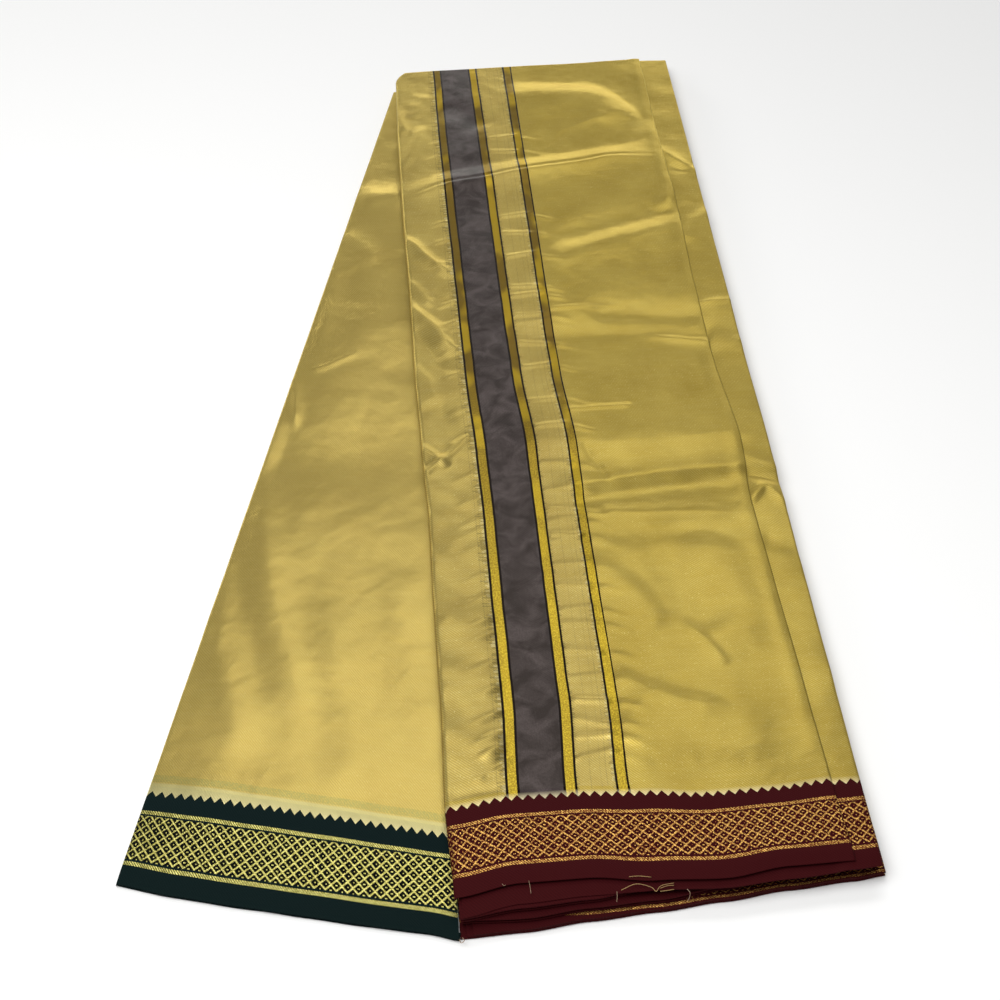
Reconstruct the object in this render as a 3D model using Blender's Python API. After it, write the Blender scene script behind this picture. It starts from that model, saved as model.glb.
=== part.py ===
"""Folded silk-finish dhoti lying flat, with a fanned-out under half.

The cloth is one woven length, doubled across its width so that both side borders meet at the hem,
then folded into narrow panels. The stack of panels shows its maroon temple border. The under half is
fanned out to the left and shows the bottle green one. Metres, +Z up; the table is at z = 0, and the
middle of the bounding box is above the origin. Tables are in millimetres, as a cutter would note them.
"""

import math

import bmesh
import bpy
from mathutils import Vector

MM = 0.001

# Cloth and folding
LOOM_WIDTH = 1276 * MM
FOLD_LENGTH = LOOM_WIDTH / 2
PANEL_WIDTH = 164.5 * MM
WALL = 1.2 * MM
BACKING_WALL = 1.5 * MM
GAP = 0.3 * MM

# Woven layout: heights are measured from the hem, widths from the left fold
BORDER_HEIGHT = 44.0 * MM
TOOTH_HEIGHT = 2.7 * MM
TOOTH_PITCH = 4.7 * MM
TOOTH_SEAM = GAP * math.hypot(1, 2 * TOOTH_HEIGHT / TOOTH_PITCH)
BAND_LEFT = 26.3 * MM
ZARI_STRIPE = 5.5 * MM
GREY_BAND = 18.9 * MM
BAND_SPACE = 16.4 * MM

# Stack
STACK_TURN = math.radians(4.6)
STACK_PLACE = (-19.2 * MM, -322.1 * MM)
FIELD_TOP = 13.2 * MM
HEM_RISE = 1.0 * MM
CURL_RADIUS = 2.2 * MM
CURL_ANGLE = math.radians(100)
TOP_FOLD_SLOPE = 0.0355
CORNER_RADIUS = 13 * MM
SECOND_OUTSET = 11.2 * MM
HEM_DEPTH = 46.0 * MM
CORE_START = 47.2 * MM
CORE_LAYERS = 9
LAYER_BULGE = 0.55 * MM

# Fanned under half
WING_TURN = math.radians(-8.5)
WING_PLACE = (-158.8 * MM, -309.1 * MM)
WING_LENGTH = 634 * MM
WING_LEAN = 0.0095
WING_TUCK = 1.2 * MM
UNDER_WALL = 1.1 * MM
WING_SWELL = 2.4 * MM
WING_SWELL_REACH = 34 * MM
WING_STEP = 12 * MM

# Stations across the stack, and where each hem lies at them, up (+) or down (-) the panel
STATIONS = (0, 27.5, 55, 82.5, 110, 137.5, 165, 179)
HEM_LINES = {
    "front": (-0.6, 4.3, 4.6, 1.2, 0.0, 3.7, 4.2, 4.2),
    "second": (-8.8, -3.8, -2.2, -1.8, -2.9, -0.8, 1.0, 2.4),
    "third": (-8.5, -5.2, -3.4, 1.0, 2.0, 4.5, 6.5, 7.0),
    "fourth": (-7.0, -7.8, -4.2, 0.5, 3.5, 6.0, 8.5, 9.0),
    "lowest": (-11.7, -10.6, -7.7, -5.6, -2.9, 0.3, 2.5, 4.2),
}
TEETH_LINE = (44.0, 47.6, 47.5, 45.8, 42.9, 43.2, 45.5, 46.0)

# How far the front panel's edges and its end band stray, by height up the panel
EDGE_ROWS = (
    # height, left fold, right fold, end band
    (0, 0.0, 0.0, 0.0),
    (45, -1.3, -0.9, 0.0),
    (100, -0.4, -1.6, 2.2),
    (160, -0.4, -2.6, 2.8),
    (215, 0.3, -3.2, 2.8),
    (262, -0.8, -0.6, 2.8),
    (325, -1.6, -3.0, 2.0),
    (385, -1.2, -2.8, 1.0),
    (485, -1.9, -0.4, 0.4),
    (555, -1.7, -0.6, -0.4),
    (640, 0.0, 0.3, -2.4),
)

# Folds pressed into the front panel: a ridge from one end to the other
FRONT_FOLDS = (
    # left u, left v, right u, right v, height, half width
    (4, 491, 78, 517, 0.8, 12),
    (78, 517, 163, 527, 0.9, 13),
    (83, 619, 146, 598, 1.0, 13),
    (49, 365, 160, 359, 0.7, 14),
    (82, 243, 142, 252, 1.0, 14),
    (0, 471, 22, 422, 1.0, 11),
    (-1, 389, 22, 349, 1.0, 11),
    (4, 254, 24, 277, 0.7, 10),
)

# The under half in its own coordinates: where its hem and its tooth tips lie, and its soft folds
WING_STATIONS = (0, 25, 50, 80, 110, 130, 146)
WING_HEM = (0.4, -1.7, -2.5, -2.9, -3.4, -3.2, -4.6)
WING_TEETH = (47.4, 46.8, 46.2, 45.4, 44.4, 43.6, 43.0)
WING_FOLDS = (
    # start a, start b, end a, end b, height, half width
    (20, 175, 40, 95, 0.9, 16),
    (64, 150, 76, 70, 0.8, 17),
    (2, 535, 24, 490, 0.8, 15),
)

# Solids of the stack below the front panel: top at the border, share of the hem's rise
HEM_BUNDLES = (
    # node, hem line, top, thickness, share of rise, left end, right end
    ("third_hem", "third", 9.9, 3.0, 0.5, 1.9, 176.4),
    ("fourth_hem", "fourth", 6.6, 3.0, 0.25, 1.7, 177.0),
    ("lowest_border", "lowest", 3.3, 3.3, 0.0, 1.6, 178.8),
)

# How far each layer of the core stands back (-) or out (+) at its sides, from the table up
CORE_ROWS = (
    # left, right, top end
    (0.6, 1.6, -0.4),
    (0.2, 1.3, -1.2),
    (0.9, 1.5, -0.2),
    (0.0, 0.7, -1.0),
    (0.5, 1.1, -0.6),
    (-0.2, 0.4, -1.4),
    (0.6, 0.9, -0.5),
    (0.1, 0.2, -1.1),
    (0.4, 0.4, -0.7),
)

COLORS = {
    # name: linear colour, roughness, metallic
    "gold_silk": ((0.552, 0.462, 0.104), 0.42, 0.0),
    "maroon_silk": ((0.060, 0.008, 0.009), 0.50, 0.0),
    "green_silk": ((0.009, 0.020, 0.021), 0.50, 0.0),
    "grey_silk": ((0.094, 0.084, 0.090), 0.55, 0.0),
    "zari": ((0.558, 0.392, 0.060), 0.38, 0.6),
}


def interpolate(xs, ys, x):
    """Smooth value of a short table at x, level with its end rows beyond them."""
    if x <= xs[0]:
        return ys[0]
    for x0, x1, y0, y1 in zip(xs, xs[1:], ys, ys[1:]):
        if x <= x1:
            t = (x - x0) / (x1 - x0)
            return y0 + (y1 - y0) * t * t * (3 - 2 * t)
    return ys[-1]


def hem(line, u):
    """Height of a hem line at u across the stack."""
    return interpolate(STATIONS, HEM_LINES[line], u / MM) * MM


def teeth_base(u):
    """Height of the tooth tips at u across the stack."""
    return interpolate(STATIONS, TEETH_LINE, u / MM) * MM


def edge_shift(column, v):
    """Stray of one column of EDGE_ROWS at height v."""
    heights = [row[0] for row in EDGE_ROWS]
    strays = [row[column] for row in EDGE_ROWS]
    return interpolate(heights, strays, v / MM) * MM


def top_line(u):
    """Height of the top fold at u across the stack."""
    return FOLD_LENGTH + TOP_FOLD_SLOPE * u


def saw_tooth(u):
    """Depth of the temple teeth at u: 0 at a tip, the tooth's height in a notch."""
    phase = (u / TOOTH_PITCH) % 1.0
    return TOOTH_HEIGHT * abs(2 * phase - 1)


def ridge(x, y, row):
    """Height of one fold at (x, y): a soft ridge that fades out at both ends."""
    x0, y0, x1, y1, height, half = (value * MM for value in row)
    along = Vector((x1 - x0, y1 - y0))
    offset = Vector((x - x0, y - y0))
    t = offset.dot(along) / along.length_squared
    nearest = along * min(1.0, max(0.0, t))
    distance = (offset - nearest).length
    if distance >= half:
        return 0.0
    return height * math.cos(0.5 * math.pi * distance / half) ** 2


class Frame:
    """A turned place on the table with its own across (a) and up (b) directions."""

    def __init__(self, place, turn):
        self.place = Vector(place)
        self.across = Vector((math.cos(turn), math.sin(turn)))
        self.up = Vector((-math.sin(turn), math.cos(turn)))

    def point(self, a, b, z):
        flat = self.place + self.across * a + self.up * b
        return Vector((flat.x, flat.y, z))

    def local(self, point):
        flat = Vector((point.x, point.y)) - self.place
        return flat.dot(self.across), flat.dot(self.up)


STACK = Frame(STACK_PLACE, STACK_TURN)
WING = Frame(WING_PLACE, WING_TURN)


def hem_lift(v, share=1.0):
    """Rise of a layer's top towards the hem, where the borders' bulk lifts it."""
    t = min(1.0, max(0.0, 1 - v / BORDER_HEIGHT))
    return HEM_RISE * share * t * t * (3 - 2 * t)


def front_surface(c, v):
    """Top of the front panel at cloth coordinates (c across, v up), curl included."""
    spread = min(1.0, max(0.0, c / PANEL_WIDTH))
    band = math.exp(-(((c - 52 * MM) / (34 * MM)) ** 2))
    shift = edge_shift(1, v) * (1 - spread) + edge_shift(2, v) * spread + edge_shift(3, v) * band
    shift += corner_inset(v) * max(0.0, 1 - c / (2 * CORNER_RADIUS))
    top = FIELD_TOP + hem_lift(v)
    if c < CURL_RADIUS:
        turn = (CURL_RADIUS - c) / CURL_RADIUS
        u = CURL_RADIUS - CURL_RADIUS * math.sin(turn)
        z = top - CURL_RADIUS * (1 - math.cos(turn))
    else:
        u = c
        z = top + sum(ridge(c, v, row) for row in FRONT_FOLDS)
    return STACK.point(u + shift, v, z)


def corner_inset(v):
    """Inset of the left edge where the top left corner is rounded off."""
    start = top_line(0) - CORNER_RADIUS
    if v <= start:
        return 0.0
    rise = min(v - start, 0.97 * CORNER_RADIUS)
    return CORNER_RADIUS - math.sqrt(CORNER_RADIUS**2 - rise**2)


def second_surface(u, v):
    """Top of the second panel, just under the front one."""
    z = FIELD_TOP - WALL - GAP + hem_lift(v, 0.75)
    return STACK.point(u, v, z)


def second_right(v):
    """Right edge of the second panel, which leaves the front one a little towards the top."""
    return PANEL_WIDTH + SECOND_OUTSET + 7.3 * MM * v / FOLD_LENGTH


def wing_hem(a):
    """Height of the fanned panel's hem at a across it."""
    return interpolate(WING_STATIONS, WING_HEM, a / MM) * MM


def wing_teeth(a):
    """Height of the fanned panel's tooth tips at a across it."""
    return interpolate(WING_STATIONS, WING_TEETH, a / MM) * MM


def wing_left(b):
    return -WING_LEAN * b


def wing_right(b):
    """Where the fanned panel goes under the stack, at height b up its own side."""
    tuck = STACK.point(WING_TUCK, 0, 0)
    step = STACK.point(WING_TUCK, 1, 0)
    a0, b0 = WING.local(tuck)
    a1, b1 = WING.local(step)
    return a0 + (b - b0) * (a1 - a0) / (b1 - b0)


def wing_top(a, b):
    """Height of the fanned panel: flat at its free edges, raised over the layers inside it."""
    inset = min(a - wing_left(b), WING_SWELL_REACH) / WING_SWELL_REACH
    up = min(max(b, 0.0), BORDER_HEIGHT) / BORDER_HEIGHT
    down = min(max(WING_LENGTH - b, 0.0), 3 * BORDER_HEIGHT) / (3 * BORDER_HEIGHT)
    swell = WING_SWELL * math.sin(0.5 * math.pi * max(inset, 0.0)) * up * down
    return UNDER_WALL + GAP + WALL + swell


def wing_surface(a, b):
    z = wing_top(a, b) + sum(ridge(a, b, row) for row in WING_FOLDS)
    return WING.point(a, b, z)


def wing_under_surface(a, b):
    return WING.point(a, b, wing_top(a, b) - WALL - 1.5 * GAP)


def spaced(start, end, count):
    return [start + (end - start) * i / count for i in range(count + 1)]


def tooth_columns(start, end):
    """Columns from start to end with one at every tooth tip and notch between them."""
    half = TOOTH_PITCH / 2
    margin = 0.03 * TOOTH_PITCH
    first = math.ceil((start + margin) / half)
    last = math.floor((end - margin) / half)
    return [start] + [half * i for i in range(first, last + 1)] + [end]


def toothed_row(columns, base, offset, cut_at=0.0):
    """Points along the temple teeth, and the tooth tips and the notches among them."""
    every, tips, notches = [], [], []
    for c in columns:
        plain = c <= cut_at
        depth = 0.0 if plain else saw_tooth(c)
        point = (c, base(c) - depth + offset)
        shared = plain or c in (columns[0], columns[-1])
        every.append(point)
        if shared or depth < 0.1 * TOOTH_HEIGHT:
            tips.append(point)
        if shared or depth > 0.9 * TOOTH_HEIGHT:
            notches.append(point)
    return every, tips, notches


def zip_rows(lower, upper, places):
    """Triangles between two rows of indices into places, by the shorter diagonal each time."""
    triangles = []
    i = j = 0
    while i < len(lower) - 1 or j < len(upper) - 1:
        advance_lower = j == len(upper) - 1
        if i < len(lower) - 1 and j < len(upper) - 1:
            along_lower = math.dist(places[lower[i + 1]], places[upper[j]])
            along_upper = math.dist(places[lower[i]], places[upper[j + 1]])
            advance_lower = along_lower <= along_upper
        if advance_lower:
            triangles.append((lower[i], lower[i + 1], upper[j]))
            i += 1
        else:
            triangles.append((lower[i], upper[j + 1], upper[j]))
            j += 1
    return [triangle for triangle in triangles if len(set(triangle)) == 3]


def make_object(name, bm, materials):
    mesh = bpy.data.meshes.new(name)
    bmesh.ops.recalc_face_normals(bm, faces=bm.faces)
    bm.to_mesh(mesh)
    bm.free()
    obj = bpy.data.objects.new(name, mesh)
    bpy.context.collection.objects.link(obj)
    for material in materials:
        mesh.materials.append(material)
    return obj


def cloth_wall(name, rows, surface, materials, wall=WALL, floor=None, paint=None):
    """A closed wall of cloth: the surface through the rows, and its copy one wall further in.

    rows is a list of rows, hem first, each a list of (column, height). With floor, the copy is flat
    at that height instead. paint gives a face's material from its mean column.
    """
    bm = bmesh.new()
    tops, places, row_indices = [], [], []
    for row in rows:
        for place in row:
            if place not in places:
                places.append(place)
                tops.append(bm.verts.new(surface(*place)))
        row_indices.append([places.index(place) for place in row])
    paints = {}
    for lower, upper in zip(row_indices, row_indices[1:]):
        for triangle in zip_rows(lower, upper, places):
            face = bm.faces.new([tops[i] for i in triangle])
            middle = sum(places[i][0] for i in triangle) / 3
            face.material_index = paint(middle) if paint else 0
            paints[face] = triangle
    bm.normal_update()
    if sum(face.normal.z for face in bm.faces) < 0:
        bmesh.ops.reverse_faces(bm, faces=bm.faces)
        bm.normal_update()
    bottoms = []
    for vertex in tops:
        if floor is None:
            place = vertex.co - vertex.normal * wall
        else:
            place = Vector((vertex.co.x, vertex.co.y, floor))
        bottoms.append(place)
    rims = [edge for edge in bm.edges if edge.is_boundary]
    rims = [(tops.index(edge.verts[0]), tops.index(edge.verts[1])) for edge in rims]
    bottoms = [bm.verts.new(place) for place in bottoms]
    for face, triangle in paints.items():
        under = bm.faces.new([bottoms[i] for i in reversed(triangle)])
        under.material_index = face.material_index
    for i, j in rims:
        middle = (places[i][0] + places[j][0]) / 2
        for corners in ((tops[i], tops[j], bottoms[j]), (tops[i], bottoms[j], bottoms[i])):
            side = bm.faces.new(corners)
            side.material_index = paint(middle) if paint else 0
    return make_object(name, bm, materials)


def front_panel(materials):
    """The four woven stretches of the front panel, a seam's gap apart."""
    start = CURL_RADIUS - CURL_RADIUS * CURL_ANGLE
    stripe_2 = BAND_LEFT + ZARI_STRIPE + GREY_BAND
    stripe_3 = stripe_2 + ZARI_STRIPE + BAND_SPACE
    band_right = stripe_3 + ZARI_STRIPE
    seam = GAP / 2
    curl = [start, 0.25 * CURL_RADIUS, CURL_RADIUS]
    teeth_start = 1.2 * CURL_RADIUS
    heights = spaced(64 * MM, FOLD_LENGTH - 12 * MM, 42)

    def field_rows(columns, left, right):
        foot = [c for c in columns if c < teeth_start]
        foot += [c for c in tooth_columns(left, right) if c >= teeth_start]
        zigzag, tips, _ = toothed_row(foot, teeth_base, TOOTH_SEAM / 2, teeth_start)
        rows = [zigzag, tips]
        for v in heights:
            rows.append([(c, v) for c in columns])
        rows.append([(c, top_line(c)) for c in columns])
        return rows

    end_columns = curl + [9 * MM, 16 * MM, 21 * MM, BAND_LEFT - seam]
    band_columns = [BAND_LEFT + seam, BAND_LEFT + ZARI_STRIPE]
    band_columns += [stripe_2, stripe_2 + ZARI_STRIPE, stripe_3, band_right - seam]
    field_columns = [band_right + seam] + spaced(86 * MM, PANEL_WIDTH - 1.5 * MM, 6) + [PANEL_WIDTH]
    gold, maroon, grey, zari = (materials[n] for n in ("gold_silk", "maroon_silk", "grey_silk", "zari"))

    def band_paint(c):
        if BAND_LEFT + ZARI_STRIPE < c < stripe_2:
            return 1
        if stripe_2 + ZARI_STRIPE < c < stripe_3:
            return 2
        return 0

    cloth_wall("front_end_strip", field_rows(end_columns, start, BAND_LEFT - seam), front_surface, [gold])
    cloth_wall(
        "end_band",
        field_rows(band_columns, BAND_LEFT + seam, band_right - seam),
        front_surface,
        [zari, grey, gold],
        paint=band_paint,
    )
    cloth_wall(
        "front_field",
        field_rows(field_columns, band_right + seam, PANEL_WIDTH),
        front_surface,
        [gold],
    )
    columns = curl + spaced(9 * MM, PANEL_WIDTH - 1.5 * MM, 14) + [PANEL_WIDTH]
    rows = []
    for share in (0.0, 0.24, 0.72):
        rows.append([(c, hem("front", c) + share * (teeth_base(c) - hem("front", c))) for c in columns])
    head = curl + [c for c in tooth_columns(start, PANEL_WIDTH) if c >= teeth_start]
    zigzag, _, notches = toothed_row(head, teeth_base, -TOOTH_SEAM / 2, teeth_start)
    rows += [notches, zigzag]
    cloth_wall("front_border", rows, front_surface, [maroon])


def second_panel(materials):
    """The panel below: its teeth are cut only where it leaves the front panel."""
    seam = TOOTH_SEAM / 2
    left = 2.8 * MM
    shown = 33.5 * TOOTH_PITCH
    columns = spaced(left, shown, 8)
    inner_right = shown + TOOTH_PITCH

    def ends(v):
        return columns + [inner_right, second_right(v)]

    def seam_rows(offset):
        ends_here = tooth_columns(shown, second_right(BORDER_HEIGHT))[1:]
        return toothed_row(columns + ends_here, teeth_base, offset, shown)

    rows = []
    for share in (0.0, 0.3, 0.85):
        rows.append([(u, hem("second", u) + share * (teeth_base(u) - hem("second", u))) for u in ends(0)])
    zigzag, _, notches = seam_rows(-seam)
    rows += [notches, zigzag]
    cloth_wall("second_border", rows, second_surface, [materials["maroon_silk"]], wall=BACKING_WALL)
    zigzag, tips, _ = seam_rows(seam)
    rows = [zigzag, tips]
    for v in spaced(90 * MM, 600 * MM, 6):
        rows.append([(u, v) for u in ends(v)])
    top = []
    for u in ends(FOLD_LENGTH):
        inset = CORNER_RADIUS * 0.8 if u == left else 0.0
        top.append((u + inset, top_line(u) - 0.4 * MM))
    rows.append([(u, top_line(u) - CORNER_RADIUS) for u in ends(FOLD_LENGTH)])
    rows.append(top)
    cloth_wall("second_field", rows, second_surface, [materials["gold_silk"]], wall=BACKING_WALL)


def hem_bundles(materials):
    """Thick hems that step out below the second panel, each a bundle of borders."""
    for node, line, top, thick, share, left, right in HEM_BUNDLES:

        def surface(u, v, top=top, share=share):
            return STACK.point(u, v, top * MM + hem_lift(v, share))

        columns = spaced(left * MM, right * MM, 14)
        rows = []
        for part in (0.0, 0.35, 0.7, 1.0):
            rows.append([(u, hem(line, u) + part * (HEM_DEPTH - hem(line, u))) for u in columns])
        floor = 0.0 if line == "lowest" else None
        cloth_wall(node, rows, surface, [materials["maroon_silk"]], wall=thick * MM, floor=floor)


def wing(materials):
    """The fanned under half: its green border, its field, and the layers below them."""
    seam = TOOTH_SEAM / 2

    def across(b, inset=0.0):
        width = wing_right(b) - wing_left(b)
        return spaced(wing_left(b) + inset, wing_right(b), max(1, round(width / WING_STEP)))

    lowest = WING_HEM[-1] * MM
    ends = tooth_columns(wing_left(BORDER_HEIGHT), wing_right(BORDER_HEIGHT))
    zigzag, _, notches = toothed_row(ends, wing_teeth, -seam)
    rows = []
    for share in (0.0, 0.3, 0.7):
        columns = across(lowest + share * (BORDER_HEIGHT - lowest))
        rows.append([(a, wing_hem(a) + share * (wing_teeth(a) - wing_hem(a))) for a in columns])
    cloth_wall("wing_border", rows + [notches, zigzag], wing_surface, [materials["green_silk"]])
    zigzag, tips, _ = toothed_row(ends, wing_teeth, seam)
    rows = [zigzag, tips]
    for b in spaced(60 * MM, WING_LENGTH - 12 * MM, 34):
        rows.append([(a, b) for a in across(b)])
    cloth_wall("wing_field", rows, wing_surface, [materials["gold_silk"]])
    rows = [[(a, wing_hem(a) + MM) for a in across(lowest, MM)]]
    for b in spaced(BORDER_HEIGHT, WING_LENGTH - 34 * MM, 8):
        rows.append([(a, b) for a in across(b, MM)])
    cloth_wall("wing_under", rows, wing_under_surface, [materials["green_silk"]], floor=0.0)


def core_outline(inset_left, inset_right, inset_top):
    """Footprint of the core with its sides moved, anticlockwise from its front left corner."""
    left = 2.2 * MM + inset_left
    points = [(left, CORE_START)]
    for v in spaced(CORE_START, FOLD_LENGTH, 10)[1:]:
        points.append((second_right(v) + inset_right, min(v, top_line(v) - 4 * MM)))
    corner = points.pop()
    points.insert(1, (second_right(CORE_START) + inset_right, CORE_START))
    points.append((corner[0], top_line(corner[0]) + inset_top - 5 * MM))
    points.append((corner[0] - 1.5 * MM, top_line(corner[0]) + inset_top - 1.5 * MM))
    for u in spaced(corner[0] - 5 * MM, left + CORNER_RADIUS, 5):
        points.append((u, top_line(u) + inset_top))
    centre = (left + CORNER_RADIUS, top_line(left) + inset_top - CORNER_RADIUS)
    for angle in (120, 150, 180):
        turn = math.radians(angle)
        points.append(
            (centre[0] + CORNER_RADIUS * math.cos(turn), centre[1] + CORNER_RADIUS * math.sin(turn))
        )
    for v in spaced(FOLD_LENGTH - 60 * MM, CORE_START, 10)[:-1]:
        points.append((left, v))
    return points


def folded_core(material):
    """All hidden layers as one solid whose sides swell and sink with each layer."""
    height = FIELD_TOP - WALL - 2 * GAP - BACKING_WALL
    layer = height / CORE_LAYERS
    levels = [(0.0, 0, 0.0)]
    for i in range(CORE_LAYERS):
        levels.append(((i + 0.5) * layer, i, LAYER_BULGE))
        if i < CORE_LAYERS - 1:
            levels.append(((i + 1) * layer, i, 0.0))
    levels.append((height, CORE_LAYERS - 1, 0.0))
    bm = bmesh.new()
    rings = []
    for z, index, bulge in levels:
        left, right, top_end = (value * MM for value in CORE_ROWS[index])
        outline = core_outline(left - bulge, right - LAYER_BULGE + bulge, top_end - LAYER_BULGE + bulge)
        rings.append([bm.verts.new(STACK.point(u, v, z)) for u, v in outline])
    count = len(rings[0])
    for lower, upper in zip(rings, rings[1:]):
        for i in range(count):
            j = (i + 1) % count
            bm.faces.new((lower[i], lower[j], upper[j], upper[i]))
    bm.faces.new(list(reversed(rings[0])))
    bm.faces.new(rings[-1])
    bmesh.ops.triangulate(bm, faces=bm.faces)
    make_object("folded_core", bm, [material])


def make_materials():
    materials = {}
    for name, (color, roughness, metallic) in COLORS.items():
        material = bpy.data.materials.new(name)
        material.use_nodes = True
        shader = material.node_tree.nodes["Principled BSDF"]
        shader.inputs["Base Color"].default_value = (*color, 1.0)
        shader.inputs["Roughness"].default_value = roughness
        shader.inputs["Metallic"].default_value = metallic
        material.diffuse_color = (*color, 1.0)
        materials[name] = material
    return materials


def main():
    for obj in list(bpy.data.objects):
        bpy.data.objects.remove(obj, do_unlink=True)
    materials = make_materials()
    front_panel(materials)
    second_panel(materials)
    hem_bundles(materials)
    wing(materials)
    folded_core(materials["gold_silk"])


main()
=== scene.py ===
# Gold art silk dhoti, folded into a flat stack with its under half fanned out to the left
import math

import bpy
import numpy as np
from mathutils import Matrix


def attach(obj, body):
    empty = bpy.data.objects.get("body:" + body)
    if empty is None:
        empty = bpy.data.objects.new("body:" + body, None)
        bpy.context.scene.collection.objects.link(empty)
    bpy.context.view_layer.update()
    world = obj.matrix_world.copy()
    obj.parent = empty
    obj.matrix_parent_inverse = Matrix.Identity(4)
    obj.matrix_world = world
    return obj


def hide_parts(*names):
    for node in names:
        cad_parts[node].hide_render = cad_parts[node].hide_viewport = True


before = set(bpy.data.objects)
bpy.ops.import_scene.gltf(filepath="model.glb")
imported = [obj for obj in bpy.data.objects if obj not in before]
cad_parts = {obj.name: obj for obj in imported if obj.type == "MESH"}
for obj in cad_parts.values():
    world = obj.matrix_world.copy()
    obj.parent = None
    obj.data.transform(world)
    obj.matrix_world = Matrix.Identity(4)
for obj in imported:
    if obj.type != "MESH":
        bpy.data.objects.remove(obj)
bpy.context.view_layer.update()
mm = 0.001
scene = bpy.context.scene

# Camera and light

cameraLook = dict(place=(-0.0008, -0.7043, 0.605), tilt=45.9, lens=61.7)
camera = bpy.data.objects.new("camera", bpy.data.cameras.new("camera"))
scene.collection.objects.link(camera)
camera.location = cameraLook["place"]
camera.rotation_euler = (math.radians(cameraLook["tilt"]), 0, 0)
camera.data.lens = cameraLook["lens"]
scene.camera = camera

# The cloth mirrors the low window in its far slopes, the left one in its left slopes, and the high
# bank in its flats near the hem; the gap between them is what darkens the other slopes
softboxes = (  # name, place, aim, size, power
    ("window", (0.2, 2.3, 0.42), (0, 0.1, 0), (1.8, 0.42), 13),
    ("left", (-1.55, 1.9, 0.5), (0, 0, 0), (0.9, 0.4), 6.5),
    ("bank", (0.1, 2.4, 3.7), (0, -0.2, 0), (2.4, 0.9), 33.5),
    ("top", (-0.35, -0.55, 1.3), (0, -0.22, 0), (1, 1), 19),
    ("side", (-1.7, 0.1, 0.8), (0, 0, 0), (1.2, 0.6), 2.5),
)
studio = dict(sky=0.17, floor="#FAFAF9", floorRough=0.9, floorReach=4, floorDrop=0.0004)


def softbox(name, place, aim, size, power):
    data = bpy.data.lights.new(name, "AREA")
    data.shape = "RECTANGLE"
    data.size, data.size_y = size
    data.energy = power
    lamp = bpy.data.objects.new(name, data)
    lamp.location = place
    run = [a - b for a, b in zip(aim, place)]
    lamp.rotation_euler = (
        math.acos(-run[2] / math.dist(aim, place)), 0, math.atan2(run[1], run[0]) - math.pi / 2
    )
    scene.collection.objects.link(lamp)


for name, *look in softboxes:
    softbox(name + "Softbox", *look)
world = bpy.data.worlds.new("studioSky")
world.use_nodes = True
sky = world.node_tree.nodes["Background"].inputs
sky["Color"].default_value = (1, 1, 1, 1)
sky["Strength"].default_value = studio["sky"]
scene.world = world
scene.view_settings.view_transform = "Standard"
print("stage: camera and lights")

# Materials


def linear(hexColour):  # sRGB hex to the linear colour that the shaders take
    parts = [int(hexColour[i : i + 2], 16) / 255 for i in (1, 3, 5)]
    return tuple(p / 12.92 if p <= 0.04045 else ((p + 0.055) / 1.055) ** 2.4 for p in parts) + (1,)


def newMaterial(name):  # with an empty node tree
    material = bpy.data.materials.new(name)
    material.use_nodes = True
    material.node_tree.nodes.clear()
    return material, material.node_tree


def put(tree, kind, wires=None, **settings):  # adds one node, sets it and wires it up
    made = tree.nodes.new("ShaderNode" + kind)
    if kind == "Mix":
        made.data_type = "RGBA"  # every mix here is of colours: how much of 7 lies over 6
    for name, value in settings.items():
        setattr(made, name, value)
    for socket, source in (wires or {}).items():
        if isinstance(source, bpy.types.Node):
            source = next(output for output in source.outputs if output.enabled)
        if isinstance(source, bpy.types.NodeSocket):
            tree.links.new(source, made.inputs[socket])
        else:
            made.inputs[socket].default_value = linear(source) if isinstance(source, str) else source
    return made


# Filament art silk in a fine twill: a soft satin gloss in the yarn's own colour, along its floats
silkFinish = dict(
    ior=1.54, gloss=0.10, borderGloss=0.03, stretch=0.35, tint="#F1E7C0", metal=0.72,
    rough=(0.31, 0.34), crumple=(0.55, 0.0011), twill=(0.38, 0.00012),  # bumps: strength, depth in m
)
twillPitch = 1.35  # mm; the real twill is near 0.3 mm, drawn coarser so that it shows
bandSpan = 0.628  # the wave texture's pitch at scale 1, on its diagonal
softCrumple = 17  # mm, broad unevenness of handled silk
patchScale = 0.028  # per mm: patches of tone some 36 mm across
yarnRun = (0.05, 0.75, 1)  # per mm: uneven yarns that run across the panel
floatRun = (1.1, 0.7, 1)  # per mm: single floats, about 1 mm long


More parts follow.
